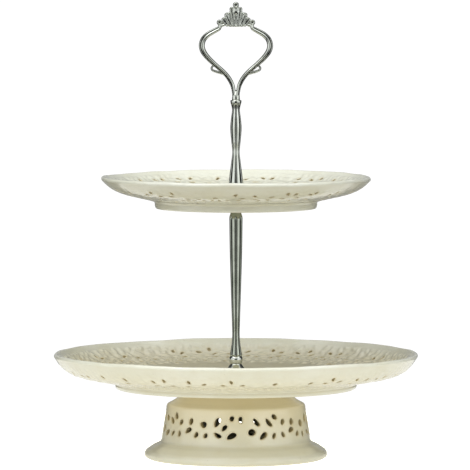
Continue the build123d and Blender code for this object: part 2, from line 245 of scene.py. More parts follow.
class PiercedWall:
    """A band of a wall of revolution, in sectors, with holes cut through it.

    outer and inner turn a share of the band's length, 0 to 1, into a radius and a height. sectors lists each
    sector's holes as outlines in millimetres, along and up the band, from the sector's lower left corner.
    """

    def __init__(
        self, outer, inner, sectors, width, length, columns, rows, thick, edge, spacing, relief, phase=0.0
    ):
        self.outer, self.inner, self.sectors, self.phase = outer, inner, sectors, phase
        self.width, self.length, self.columns, self.rows = width, length, columns, rows
        self.thick, self.edge, self.spacing, self.relief = thick, edge, spacing, relief

    def position(self, index, flat, depth, gap):
        """Points at a depth, 0 outside to 1 inside, for flat places in a sector that lie gap from a hole."""
        share = flat[:, 1] / self.length
        outer, inner = np.stack(self.outer(share), -1), np.stack(self.inner(share), -1)
        across = inner - outer
        across /= np.linalg.norm(across, axis=1)[:, None]
        rise_out, rise_in = self.relief(index, flat, gap)
        outer = outer - across * rise_out[:, None]
        inner = inner + across * rise_in[:, None]
        spot = outer + (inner - outer) * depth
        angle = self.phase + 2 * pi * (index + flat[:, 0] / self.width) / len(self.sectors)
        return about_z(spot[:, 0], spot[:, 1], angle)

    def build(self, builder):
        """Adds the whole band to builder."""
        for index in range(len(self.sectors)):
            self.build_sector(builder, index)

    def flat_mesh(self, holes):
        """Vertices and triangles of one sector's face, open inside a loop round each hole."""
        width, length = self.width, self.length
        low = [(width * i / self.columns, 0.0) for i in range(self.columns)]
        right = [(width, length * i / self.rows) for i in range(self.rows)]
        high = [(width * (1 - i / self.columns), length) for i in range(self.columns)]
        left = [(0.0, length * (1 - i / self.rows)) for i in range(self.rows)]
        border = np.array(low + right + high + left)
        loops = [widened(hole, self.edge) for hole in holes]
        points = [border, *loops]
        edges = []
        for loop in points:
            start = len(edges)
            edges += [(start + i, start + (i + 1) % len(loop)) for i in range(len(loop))]
        fixed = np.concatenate([dense(loop) for loop in points])
        kept = np.concatenate(points)
        fill = [widened(hole, self.edge + extra) for hole in holes for extra in (0.6, 1.4)]
        pitch = self.spacing
        places_across = np.arange(0.5 * pitch, width, pitch)
        across, up = np.meshgrid(places_across, np.arange(0.5 * pitch, length, 0.87 * pitch))
        across[::2] += 0.25 * pitch
        across[1::2] -= 0.25 * pitch
        fill.append(np.stack((across.ravel(), up.ravel()), -1))
        for order, batch in enumerate(fill):
            clear = 0.45 if order < len(fill) - 1 else 0.55 * pitch
            ok = (batch[:, 0] > clear) & (batch[:, 0] < width - clear)
            ok &= (batch[:, 1] > clear) & (batch[:, 1] < length - clear)
            ok &= nearest(batch, fixed) > clear
            for loop in loops:
                ok &= ~inside(batch, loop)
            batch = batch[ok]
            if len(batch):
                ok = nearest(batch, kept) > clear
                batch = batch[ok]
                kept = np.concatenate((kept, batch))
        result = delaunay_2d_cdt([Vector(p) for p in kept], edges, [], 0, 1e-5)
        flat = np.array([tuple(v) for v in result[0]])
        triangles = [tuple(face) for face in result[2]]
        middles = np.array([flat[list(face)].mean(0) for face in triangles])
        for loop in loops:
            kept_faces = ~inside(middles, loop)
            triangles = [face for face, stays in zip(triangles, kept_faces) if stays]
            middles = middles[kept_faces]
        return flat, triangles

    def build_sector(self, builder, index):
        """Both faces of one sector, and its holes."""
        holes = self.sectors[index]
        before = self.sectors[index - 1]
        after = self.sectors[(index + 1) % len(self.sectors)]
        shift = np.array((self.width, 0.0))
        near = [*holes, *[h - shift for h in before], *[h + shift for h in after]]
        outlines = np.concatenate([dense(h) for h in near]) if near else np.zeros((0, 2))
        flat, triangles = self.flat_mesh(holes)
        gap = nearest(flat, outlines)
        glaze = np.exp(-((gap / 1.3) ** 2))
        builder.add(self.position(index, flat, 0.0, gap), triangles, glaze)
        builder.add(self.position(index, flat, 1.0, gap), [face[::-1] for face in triangles], glaze)
        for hole in holes:
            self.build_hole(builder, index, hole)

    def build_hole(self, builder, index, hole):
        """The rounded edges and the wall of one hole, as rings from the outer face to the inner one."""
        share = self.edge / self.thick
        rings = [(out * self.edge, down * share) for out, down in EDGE_STEPS]
        rings += [(-0.06, 0.5)]
        rings += [(out * self.edge, 1 - down * share) for out, down in reversed(EDGE_STEPS)]
        count = len(hole)
        points = []
        for out, depth in rings:
            gap = np.full(count, max(out, 0.0))
            points.append(self.position(index, widened(hole, out), depth, gap))
        # the hole walls get the highest glaze values, most at mid-wall: glaze pooled there, and painted shade
        # inside the holes
        depths = np.repeat([4 * depth * (1 - depth) for out, depth in rings], count)
        builder.tube(points, 1.0 + depths)


# ---------------- ceramics: shapes
LIP_THINNING = 0.27  # the share of a plate's thickness that is gone at its lip


class PlateForm:
    """A plate's wall rises straight from the foot ring, curls up from bend_r and ends in a round lip."""

    def __init__(self, outer_r, thick, ring_r, ring_z, slope, bend_r, lift):
        self.thick, self.ring_r, self.ring_z = thick, ring_r, ring_z
        self.slope, self.bend_r, self.lift = slope, bend_r, lift
        self.end_r = outer_r - 0.1 * thick
        self.end_angle = atan(self.underside(self.end_r)[1])

    def underside(self, r):
        """Height and slope of the underside at radius r."""
        curl = self.end_r - self.bend_r
        share = np.maximum(0.0, (r - self.bend_r) / curl)
        height = self.ring_z + self.slope * (r - self.ring_r) + self.lift * share**3
        return height, self.slope + 3 * self.lift * share**2 / curl

    def facing(self, r):
        """The point of the upper surface that faces radius r of the underside; the wall thins outwards."""
        height, slope = self.underside(r)
        angle = np.arctan(slope)
        share = np.clip((r - self.bend_r) / (self.end_r - self.bend_r), 0, 1)
        thick = self.thick * (1 - LIP_THINNING * share**2)
        return r - thick * np.sin(angle), height + thick * np.cos(angle)

    def well(self, from_r, floor_z, recess_z, foot_z, ring_width):
        """Outline from the upper surface over from_r, through the well, hole, recess and foot ring."""
        ring_r, ring_in = self.ring_r, self.ring_r - ring_width
        start = np.array(self.facing(from_r))
        slope = atan(self.underside(from_r)[1])
        floor_r = ring_r - 9
        reach = start[0] - floor_r
        down = (-reach * cos(slope), -reach * sin(slope))
        line = [start, *hermite(start, down, (floor_r, floor_z), (-reach, 0), 16)]
        line += [(floor_r, floor_z), (0.8 * floor_r, floor_z), (0.5 * floor_r, floor_z), (14, floor_z)]
        hole = [(12, floor_z), (DRILLED_R, floor_z), (DRILLED_R, recess_z), (12, recess_z)]
        line += rounded(hole, [0.5, 0.5])
        foot_ring = [(0.6 * ring_in, recess_z), (ring_in - 1.6, recess_z), (ring_in, foot_z)]
        foot_ring += [(ring_r - 0.7, foot_z), (ring_r, foot_z + 1.9)]
        foot_ring += [(ring_r + 0.1, self.underside(ring_r)[0] - 0.3)]
        foot_ring += [(ring_r + 5.5, self.underside(ring_r + 5.5)[0])]
        line += rounded(foot_ring, [1.2, 0.9, 1.1, 1.2, 2.2])
        for r in np.linspace(ring_r + 6, from_r, 6)[: 6 if from_r > ring_r + 6.5 else 0]:
            line.append((r, self.underside(r)[0]))
        return line

    def lip(self, from_r):
        """Outline from the underside at from_r, round the lip, to the upper surface that faces from_r."""
        line = [(r, self.underside(r)[0]) for r in np.linspace(from_r, self.end_r, 6)]
        low, high = np.array(line[-1]), np.array(self.facing(self.end_r))
        middle, arm = (low + high) / 2, (low - high) / 2
        ahead = np.array((-arm[1], arm[0]))
        for step in range(1, 12):
            turn = pi * step / 12
            line.append(middle + arm * cos(turn) + ahead * sin(turn))
        line += [self.facing(r) for r in np.linspace(self.end_r, from_r, 6)]
        return line


# Leaves between a sector's flowers, as shares of its width and of the band's length
LOOSE_LEAVES = ((0.86, 0.6), (0.88, 0.8), (0.08, 0.86), (0.36, 0.3), (0.3, 0.1), (0.34, 0.93))
LOOSE_LEAVES += ((0.62, 0.9), (0.82, 0.96), (0.12, 0.98), (0.5, 0.99), (0.64, 0.78))


def rim_flowers(rng, width, length):
    """A sector of a plate's rim: a large flower high up and a small one low beside it, with leaves.

    Gives the holes, and the embossed petals and leaves as (x, y, half length, half breadth, angle, height).
    """
    holes, leaves = [], []
    for across, up, reach, petals, open_share, size in (
        (0.36, 0.61, 0.215, 6, 0.62, 1.0),
        (0.82, 0.26, 0.177, 5, 0.45, 0.86),
    ):
        centre = np.array((width * across, length * up)) + rng.uniform(-0.7, 0.7, 2)
        first = rng.uniform(0, 2 * pi)
        leaves.append((*centre, 1.7 * size, 1.6 * size, 0.0, 0.75))
        for step in range(petals):
            turn = first + 2 * pi * step / petals + rng.uniform(-0.16, 0.16)
            spot = centre + length * reach * rng.uniform(0.92, 1.08) * np.array((cos(turn), sin(turn)))
            angle = turn + rng.uniform(-0.4, 0.4)
            half_length, half_breadth = size * rng.uniform(3.1, 3.7), size * rng.uniform(1.9, 2.4)
            leaves.append((*spot, half_length, half_breadth, angle, rng.uniform(0.8, 1.0)))
            if rng.uniform() < open_share:
                size_of_hole = size * rng.uniform(3.0, 4.3), size * rng.uniform(1.6, 2.3)
                taper, bend = rng.uniform(0.05, 0.4), rng.uniform(-0.1, 0.1)
                holes.append(petal(*size_of_hole, angle, taper, bend, points=16) + spot)
    for across, up in LOOSE_LEAVES:
        spot = (width * (across + rng.uniform(-0.05, 0.05)), length * (up + rng.uniform(-0.03, 0.03)))
        half_length, half_breadth = rng.uniform(2.3, 3.3), rng.uniform(1.3, 1.9)
        leaves.append((*spot, half_length, half_breadth, rng.uniform(0, pi), rng.uniform(0.6, 0.9)))
    return fitting(holes, width, length), leaves


def fitting(holes, width, length, clear=1.7):
    """Moves each hole inside its sector, and leaves out any that would meet one before it."""
    kept = []
    for hole in holes:
        low, high = hole.min(0), hole.max(0)
        hole = hole + np.maximum(clear - low, 0) - np.maximum(high - np.array((width, length)) + clear, 0)
        if not kept or nearest(dense(hole), dense(np.concatenate(kept), 1)).min() > clear:
            kept.append(hole)
    return kept


def unevenness(points, size, seed):
    """A smooth hand-made wander over points, from a few waves of about the given size in millimetres."""
    rng = np.random.default_rng(seed)
    total = np.zeros(len(points))
    for step in range(6):
        run = rng.normal(size=3)
        run *= 2 * pi / (size * rng.uniform(0.7, 1.6) * np.linalg.norm(run))
        total += np.sin(points @ run + rng.uniform(0, 2 * pi))
    return total / 6


def wavy_rim(seed, from_r, to_r, rise, pull):
    """Bend for a plate: the rim goes gently up, down and in by hand, from nothing at from_r."""

    def bend(points):
        rng = np.random.default_rng(seed)
        r = np.hypot(points[:, 0], points[:, 1])
        angle = np.arctan2(points[:, 1], points[:, 0])
        share = np.clip((r - from_r) / (to_r - from_r), 0, 1) ** 1.5
        up, back = np.zeros(len(points)), np.zeros(len(points))
        for waves in (2, 3, 5, 7, 11, 16, 23):
            size = 1 / sqrt(waves)
            up += size * np.sin(waves * angle + rng.uniform(0, 2 * pi))
            back += size * np.sin(waves * angle + rng.uniform(0, 2 * pi))
        out = points.copy()
        out[:, 2] += rise * share * (up / 1.6 - 1)
        factor = 1 - pull * share * (1 + back / 3.2) / np.maximum(r, 1)
        out[:, :2] *= factor[:, None]
        return out

    return bend


def embossing(leaves, width, length, height, under):
    """Raised petals and leaves over a rim: a function for both faces' relief at flat places in a sector."""
    shoulder, margin = 1.35, 1.5

    def relief(index, flat, gap):
        rise = np.zeros(len(flat))
        for offset in (-1, 0, 1):
            for x, y, half_length, half_breadth, angle, share in leaves[(index + offset) % len(leaves)]:
                over = flat - np.array((x + offset * width, y))
                along = (over[:, 0] * cos(angle) + over[:, 1] * sin(angle)) / half_length
                across = (over[:, 1] * cos(angle) - over[:, 0] * sin(angle)) / half_breadth
                rise = np.maximum(rise, share * np.exp(-((along**2 + across**2) ** shoulder)))
        fade = np.clip(np.minimum(flat[:, 1], length - flat[:, 1]) / margin, 0, 1)
        fade = height * fade * fade * (3 - 2 * fade)
        sunk = 1 - 0.45 * np.exp(-((gap / 0.7) ** 2))
        return under * rise * fade * sunk, rise * fade * sunk

    return relief


def pierced_plate(name, form, band, flowers, columns, levels, seed, wave, relief, material):
    """A plate with a pierced and embossed rim. band is its inner and outer radius on the underside."""
    rng = np.random.default_rng(seed)
    floor_z, recess_z, foot_z, ring_width = levels
    from_r, to_r = band
    stops = np.linspace(from_r, to_r, 60)
    length = float(np.hypot(np.diff(stops), np.diff(form.underside(stops)[0])).sum())
    width = pi * (from_r + to_r) / flowers
    sectors, leaves = zip(*[rim_flowers(rng, width, length) for flower in range(flowers)])

    def below(share):
        r = from_r + (to_r - from_r) * share
        return r, form.underside(r)[0]

    wall = PiercedWall(
        outer=below,
        inner=lambda share: form.facing(below(share)[0]),
        sectors=sectors,
        width=width,
        length=length,
        columns=columns,
        rows=20,
        thick=form.thick,
        edge=0.55,
        spacing=0.95,
        relief=embossing(leaves, width, length, height=relief, under=0.3),
    )
    builder = Builder()
    wall.build(builder)
    around = flowers * columns
    builder.revolve(form.well(from_r, floor_z, recess_z, foot_z, ring_width), around)
    builder.revolve(form.lip(to_r), around)
    return builder.finish(name + "_piece", material, name, name, bend=wave, slot="cream_glaze")


def plates(materials):
    """The large plate on the pedestal and the small one between the stems."""
    lower_r, upper_r = LOWER_HIGH.x + 0.05, UPPER_HIGH.x + 0.05
    pierced_plate(
        "lower_plate",
        PlateForm(lower_r, thick=4.5, ring_r=89.4, ring_z=57.0, slope=0.2, bend_r=112.0, lift=10.6),
        band=(98.0, 132.6),
        flowers=30,
        columns=18,
        levels=(LOWER_FLOOR_Z, LOWER_RECESS_Z, LOWER_LOW.z, 4.6),
        seed=11,
        wave=wavy_rim(seed=5, from_r=95, to_r=135, rise=0.55, pull=0.14),
        relief=1.1,
        material=materials["lower_glaze"],
    )
    pierced_plate(
        "upper_plate",
        PlateForm(upper_r, thick=4.2, ring_r=60.0, ring_z=191.1, slope=0.24, bend_r=76.0, lift=6.7),
        band=(66.5, 97.3),
        flowers=26,
        columns=16,
        levels=(UPPER_FLOOR_Z, UPPER_RECESS_Z, UPPER_LOW.z, 4.4),
        seed=23,
        wave=wavy_rim(seed=9, from_r=68, to_r=99.5, rise=0.5, pull=0.12),
        relief=0.6,
        material=materials["upper_glaze"],
    )


# The hand-cut holes over a quarter of the pedestal: place along the wall from the quarter's middle, height,
# length, breadth, tilt in degrees
PEDESTAL_HOLES = (
    (-39.0, 24.7, 6.2, 3.5, 30), (-36.0, 31.3, 5.0, 3.6, 80), (-30.4, 21.8, 4.4, 3.1, 60),
    (-25.0, 29.6, 5.2, 4.5, -20), (-22.7, 21.6, 3.8, 3.0, 60), (-14.0, 31.4, 7.4, 4.1, 60),
    (-13.4, 22.1, 6.2, 3.0, -30), (-8.5, 27.4, 5.3, 3.0, 50), (-3.0, 34.3, 3.9, 3.3, 70),
    (-3.2, 21.5, 7.6, 4.0, 28), (3.6, 33.3, 5.0, 3.0, 96), (11.7, 24.2, 5.6, 4.9, 10),
    (15.4, 31.5, 7.0, 3.2, -50), (20.4, 21.5, 7.0, 3.7, 42), (25.4, 31.0, 7.4, 3.1, -50),
    (28.9, 21.2, 4.5, 2.6, 65), (30.5, 35.6, 4.8, 3.4, -30), (37.0, 21.9, 4.2, 2.7, -62),
    (37.6, 31.0, 4.6, 3.2, 60),
)
WALL_T = 5.0
DECK_T = 4.6
DRUM_LOW = (55.2, 16.5)
DRUM_HIGH = (51.5, 38.6)


def drum_r(z):
    """Outer radius of the pedestal's drum at a height."""
    return DRUM_LOW[0] + (z - DRUM_LOW[1]) * (DRUM_HIGH[0] - DRUM_LOW[0]) / (DRUM_HIGH[1] - DRUM_LOW[1])


def pedestal(materials):
    """The drum on its flared foot, closed by a deck, pierced with irregular petals."""
    rng = np.random.default_rng(3)
    low_z, high_z, quarters, columns = 17.4, 38.0, 4, 60
    lean = (DRUM_LOW[0] - DRUM_HIGH[0]) / (DRUM_HIGH[1] - DRUM_LOW[1])
    stretch = sqrt(1 + lean**2)
    length = (high_z - low_z) * stretch
    width = 2 * pi * 53.0 / quarters
    sectors = []
    for quarter in range(quarters):
        wander = 0.0 if quarter == 0 else 1.0
        holes = []
        for along, height, size, breadth, tilt in PEDESTAL_HOLES:
            size = size * (1 + wander * rng.uniform(-0.12, 0.12))
            breadth = breadth * (1 + wander * rng.uniform(-0.12, 0.12))
            angle = radians(tilt + wander * rng.uniform(-30, 30))
            shape = petal(size, breadth, angle, rng.uniform(-0.1, 0.3), rng.uniform(-0.08, 0.08), points=24)
            shift = wander * rng.uniform(-0.8, 0.8, 2)
            holes.append(shape + (width / 2 + along, (height - low_z) * stretch) + shift)
        sectors.append(fitting(holes, width, length, clear=1.2))

    def face(share, depth):
        z = low_z + (high_z - low_z) * share
        return drum_r(z) - depth, z

    wall = PiercedWall(
        outer=lambda share: face(share, 0.0),
        inner=lambda share: face(share, WALL_T),
        sectors=sectors,
        width=width,
        length=length,
        columns=columns,
        rows=14,
        thick=WALL_T,
        edge=0.45,
        spacing=1.6,
        relief=lambda index, flat, gap: (np.zeros(len(flat)), np.zeros(len(flat))),
        phase=-3 * pi / 4,
    )
    foot_r, deck_z = PEDESTAL_HIGH.x, PEDESTAL_HIGH.z
    under_z = deck_z - DECK_T
    neck_low, neck_high = (46.7, 43.2), (38.6, 51.5)
    top = rounded([face(1, 0), (51.55, 39.4), (50.9, 41.0), neck_low], [0.8, 0.9])
    top += hermite(neck_low, (-5, 2.6), neck_high, (-0.6, 8), 12)
    deck = [neck_high, (neck_high[0], deck_z), (20, deck_z), (DRILLED_R, deck_z), (DRILLED_R, under_z)]
    top += rounded([*deck, (20, under_z)], [1.3, 0.1, 0.5, 0.5])
    inside_top = [(25, under_z), (33.5, under_z), (36.8, 44.0), (45.8, 38.8), (46.8, 38.6), face(1, WALL_T)]
    top += rounded(inside_top, [2, 4, 1, 0.3])
    base = smooth_line([face(0, WALL_T), (50.4, 13.5), (52.2, 8.5), (55.4, 3.0), (57.4, 0.6)], 4)
    base += rounded([(57.4, 0.6), (58.2, 0), (61, 0), (62, 0.1)], [0.5, 0.5])
    flare = [(62.0, 0.1), (64.6, 0.6), (foot_r - 0.6, 2.2), (foot_r, 4.3), (foot_r - 0.9, 6.5), (65.0, 8.1)]
    flare += [(61.2, 10.6), (57.8, 12.2), (56.0, 13.5), (55.35, 15.4), face(0, 0)]
    base += smooth_line(flare, 5)[1:]
    builder = Builder()
    wall.build(builder)
    builder.revolve(top, quarters * columns)
    builder.revolve(base, quarters * columns)

    def bend(points):
        out = points.copy()
        r = np.hypot(points[:, 0], points[:, 1])
        share = np.clip((r - 30) / 15, 0, 1) * np.clip(points[:, 2] / 4, 0, 1)
        out[:, :2] *= (1 - 0.0030 * share * (1 + unevenness(points, size=38.0, seed=4)))[:, None]
        return out

    glazed = materials["base_glaze"]
    return builder.finish("pedestal_piece", glazed, "base", "pedestal", bend=bend, slot="cream_glaze")


# ---------------- castings
def fluted(builder, crests, levels, deep, wide, fade, flutes=8):
    """A column whose ribs reach the crests, (radius, height) stops. A groove faces the front.

    deep is the grooves' depth as a share of the radius, wide is half their width as a share of a flute, and
    fade lists (height, share) for grooves that run out. Gives the column's first and last rings.
    """
    half = wide * np.array([0.0, 0.18, 0.37, 0.55, 0.71, 0.84, 0.95, 1.08, 1.3])
    half = np.concatenate((half, np.linspace(half[-1], 0.5, 4)[1:-1]))
    spread = np.concatenate((half, [0.5], 1 - half[:0:-1]))
    angles = np.concatenate([2 * pi * (k + spread) / flutes for k in range(flutes)]) - pi / 2
    off = np.tile(np.minimum(spread, 1 - spread), flutes)
    swell = np.clip(1 - off / wide, 0, 1) ** 1.15
    # painted shade of the grooves: full over each groove's middle, none on the ribs
    groove_shade = np.clip(1.7 - 1.6 * off / wide, 0, 1)
    line = np.array(smooth_line(crests, 8))
    rings, groove = [], []
    for z in levels:
        crest = float(np.interp(z, line[:, 1], line[:, 0]))
        share = np.interp(z, *zip(*fade))
        rings.append(about_z(crest * (1 - deep * share * swell), z, angles))
        groove.append(share * groove_shade)
    builder.tube(rings, np.concatenate(groove))
    return rings[0], rings[-1]


def lower_stem(materials):
    """The slender fluted column, wider towards its domed top, with a fluted flare where it meets the foot."""
    low, high = place("lower_stem")
    foot, top = low.z, high.z
    crests = lifted(foot, [(4.75, 0), (4.55, 1.2), (4.1, 3.6), (3.3, 8.6), (2.85, 15.2), (3.0, 23.6)])
    crests += lifted(foot, [(3.6, 41.6), (4.3, 63.6), (4.8, 83.6)]) + lifted(top, [(5.03, -7.0)])
    levels = np.concatenate((np.linspace(foot + 0.4, foot + 24, 34), np.linspace(foot + 25, top - 7.0, 52)))
    fade = [(foot, 1.0), (top - 10, 1.0), (top - 7.6, 0.75)]
    dome = [(4.82, -6.7), (4.7, -6.2), (4.45, -5.4), (4.1, -4.3), (3.8, -3.4), (3.66, -2.9), (3.66, -0.2)]
    builder = Builder()
    start, end = fluted(builder, crests, levels, deep=0.14, wide=0.28, fade=fade)
    builder.cap(start, lifted(foot, [(4.5, 0.1), (4.1, 0), (2.2, 0)]))
    builder.cap(end, lifted(top, [*dome, (3.5, 0), (2.0, 0)]))
    builder.revolve(lifted(top, [(2.0, 0), (2.0, -12), (0.02, -12.6)]), 24)
    builder.revolve(lifted(foot, [(2.2, 0), (2.2, 6), (0.02, 6.6)]), 24)
    # the lower stem takes the darker plating, which is painted shade
    column = materials["column"]
    return builder.finish("lower_stem_piece", column, "base", "lower_stem", slot="plated_casting")


def stem_foot(materials):
    """A flared skirt on the plate, under a bright ball on which the stem stands."""
    low, high = place("lower_stem_foot")
    foot, top = low.z, high.z
    outline = rounded(lifted(foot, [(2.6, 0), (11.0, 0), (11.85, 0.5), (11.4, 1.4)]), [0.4, 0.4])
    outline += smooth_line(lifted(foot, [(11.0, 1.8), (8.9, 3.5), (6.3, 7.1), (4.35, 9.6), (4.05, 10.2)]), 5)
    ball = [(4.15, 10.4), (4.75, 11.2), (5.05, 12.9), (4.85, 14.6), (4.3, 15.6)]
    outline += smooth_line(lifted(foot, ball), 4)
    outline += [(4.15, foot + 15.85), (3.9, top), (2.6, top), (2.45, top - 0.3)]
    outline += lifted(foot, [(2.45, 0.4), (2.6, 0)])
    builder = Builder()
    builder.revolve(outline, 96)
    bright = materials["casting"]
    return builder.finish("lower_stem_foot_piece", bright, "base", "lower_stem_foot", slot="plated_casting")


def upper_stem(materials):
    """The fluted upper column: a flare on the plate, a waist, a bulb and a collar."""
    low, high = place("upper_stem")
    foot, top = low.z, high.z
    crests = lifted(foot, [(6.2, 0), (6.55, 2.6), (5.5, 11.6), (4.35, 20.6), (3.45, 27.6), (2.8, 34.2)])
    crests += lifted(foot, [(3.6, 42.6), (4.3, 51.5), (3.75, 58.6), (2.98, 64.2), (3.1, 66.6), (3.72, 69.4)])
    levels = np.linspace(foot + 0.4, foot + 69.2, 96)
    fade = [(foot + up, s) for up, s in ((0, 1.0), (30, 0.85), (34, 0.55), (38, 0.85), (62, 1.0), (69, 1.0))]
    collar = lifted(foot, [(3.82, 69.7), (3.98, 70.4), (4.1, 71.2), (4.1, 71.8)])
    collar += lifted(top, [(3.95, -0.12), (3.75, 0), (3.0, 0), (2.0, 0)])
    builder = Builder()
    start, end = fluted(builder, crests, levels, deep=0.22, wide=0.26, fade=fade)
    builder.cap(start, lifted(foot, [(5.9, 0.08), (5.5, 0), (2.2, 0)]))
    builder.cap(end, collar)
    builder.revolve(lifted(top, [(2.0, 0), (2.0, -7), (0.02, -7.6)]), 24)
    builder.revolve(lifted(foot, [(2.2, 0), (2.2, 13), (0.02, 13.6)]), 24)
    bright = materials["casting"]
    return builder.finish("upper_stem_piece", bright, "upper_stem", "upper_stem", slot="plated_casting")


# ---------------- handle
# Stations of the right arm's centre line above the stem's top: across, up, width, depth
ARM = (
    (1.35, 0.8, 2.7, 5.0), (1.5, 5.0, 2.8, 5.0), (2.2, 9.5, 3.1, 4.9), (3.4, 12.8, 3.3, 4.9),
    (5.6, 16.6, 3.4, 4.8), (9.1, 20.7, 3.4, 4.8), (13.5, 24.6, 3.4, 4.8), (17.5, 28.1, 3.7, 4.8),
    (21.0, 31.6, 4.0, 4.8), (23.7, 35.2, 4.3, 5.0), (25.0, 38.4, 4.4, 5.0), (25.1, 41.5, 4.4, 5.0),
    (23.8, 45.1, 4.3, 5.0), (20.7, 48.3, 4.1, 4.8), (16.5, 50.8, 3.8, 4.6), (12.9, 52.7, 3.4, 4.2),
    (11.7, 53.9, 2.6, 3.8),
)
SPUR = (
    (8.3, 19.2, 2.0, 3.2), (11.6, 20.2, 2.1, 3.4), (14.6, 21.0, 2.0, 3.4), (17.2, 22.1, 1.8, 3.1),
    (18.0, 23.7, 1.6, 2.6), (17.0, 25.1, 1.5, 2.4), (15.4, 25.7, 1.4, 2.2),
)


def limb(builder, stations, side, top_z, sections, shape):
    """Sweeps a section along stations in the XZ plane; shape gives the section and its groove, up to 1."""
    line = np.array(smooth_line([np.array(s, float) for s in stations], max(2, sections // len(stations))))
    ahead = np.gradient(line[:, :2], axis=0)
    ahead /= np.linalg.norm(ahead, axis=1)[:, None]
    around = 44
    turns = 2 * pi * np.arange(around) / around
    across, deep, shade = shape(turns)
    rings = []
    for (x, z, width, depth), (along_x, along_z) in zip(line, ahead):
        out = across * width / 2
        rings.append(np.stack(((x + out * along_z) * side, deep * depth / 2, top_z + z - out * along_x), -1))
    closings = []
    for end, way in ((0, -1), (-1, 1)):
        ring, centre = rings[end], rings[end].mean(0)
        push = np.array((ahead[end, 0] * side, 0, ahead[end, 1])) * (line[end, 2] * 0.22 * way)
        steps = ((0.75, 0.75), (0.02, 1))
        closings.append([centre + (ring - centre) * size + far * push for size, far in steps])
    rings = [*closings[0][::-1], *rings, *closings[1]]
    # the groove value goes with each vertex, and the castings' material paints it as shade
    builder.tube(rings, np.tile(shade, len(rings)))


def two_ribs(turns):
    """A flattened oval with a groove along its front and back, nearer the loop's outside."""
    across = np.cos(turns)
    deep = np.sign(np.sin(turns)) * np.abs(np.sin(turns)) ** 0.8
    groove = np.exp(-(((across - 0.34) / 0.24) ** 2))
    rib = 1 - 0.42 * groove
    return np.sign(across) * np.abs(across) ** 0.85, deep * rib, groove


def grooved_oval(turns):
    """An oval with a shallow groove along its front and back."""
    across = np.cos(turns)
    groove = np.exp(-((across / 0.3) ** 2))
    return across, np.sin(turns) * (1 - 0.22 * groove), groove


def capsule(work, a, b, radius_a, radius_b, depth):
    """Adds a tapered, round-ended bar between two points of the XZ plane, depth times as deep as wide."""
    a, b = np.array((a[0], 0, a[1]), float), np.array((b[0], 0, b[1]), float)
    ahead = b - a
    span = max(np.linalg.norm(ahead), 1e-6)
    ahead = ahead / span
    side, back = np.array((ahead[2], 0, -ahead[0])), np.array((0, 1.0, 0))
    rings, count = [], 20
    turns = 2 * pi * np.arange(count) / count
    for centre, radius, lean in ((a, radius_a, -1), (b, radius_b, 1)):
        angles = np.linspace(0, pi / 2, 6)
        angles = angles[::-1] if lean < 0 else angles
        for angle in angles:
            r, push = radius * cos(angle), radius * sin(angle) * lean
            if angle > 1.5:
                r = radius * 0.02
            ring = centre + ahead * push + np.outer(np.cos(turns) * r, side)
            ring += np.outer(np.sin(turns) * r * depth, back)
            rings.append([work.verts.new(p * MM) for p in ring])
    for first, second in zip(rings, rings[1:]):
        for j in range(count):
            k = (j + 1) % count
            work.faces.new((first[j], first[k], second[k], second[j]))
    work.faces.new(rings[0][::-1])
    work.faces.new(rings[-1])


def merged(name, work, voxel, smooth, keep):
    """Fuses a bmesh's overlapping solids into one skin, smooths it and keeps the share keep of its faces."""
    bmesh.ops.recalc_face_normals(work, faces=work.faces)
    mesh = bpy.data.meshes.new(name)
    work.to_mesh(mesh)
    work.free()
    lump = shown(name, mesh)
    remesh = lump.modifiers.new("fuse", "REMESH")
    remesh.mode, remesh.voxel_size = "VOXEL", voxel * MM
    relax = lump.modifiers.new("relax", "SMOOTH")
    relax.factor, relax.iterations = 0.5, smooth
    thin = lump.modifiers.new("thin", "DECIMATE")
    thin.ratio = keep
    fused = bpy.data.meshes.new_from_object(lump.evaluated_get(bpy.context.evaluated_depsgraph_get()))
    bpy.data.objects.remove(lump)
    points = np.empty(len(fused.vertices) * 3)
    fused.vertices.foreach_get("co", points)
    faces = [tuple(p.vertices) for p in fused.polygons]
    bpy.data.meshes.remove(fused)
    return points.reshape(-1, 3) / MM, faces


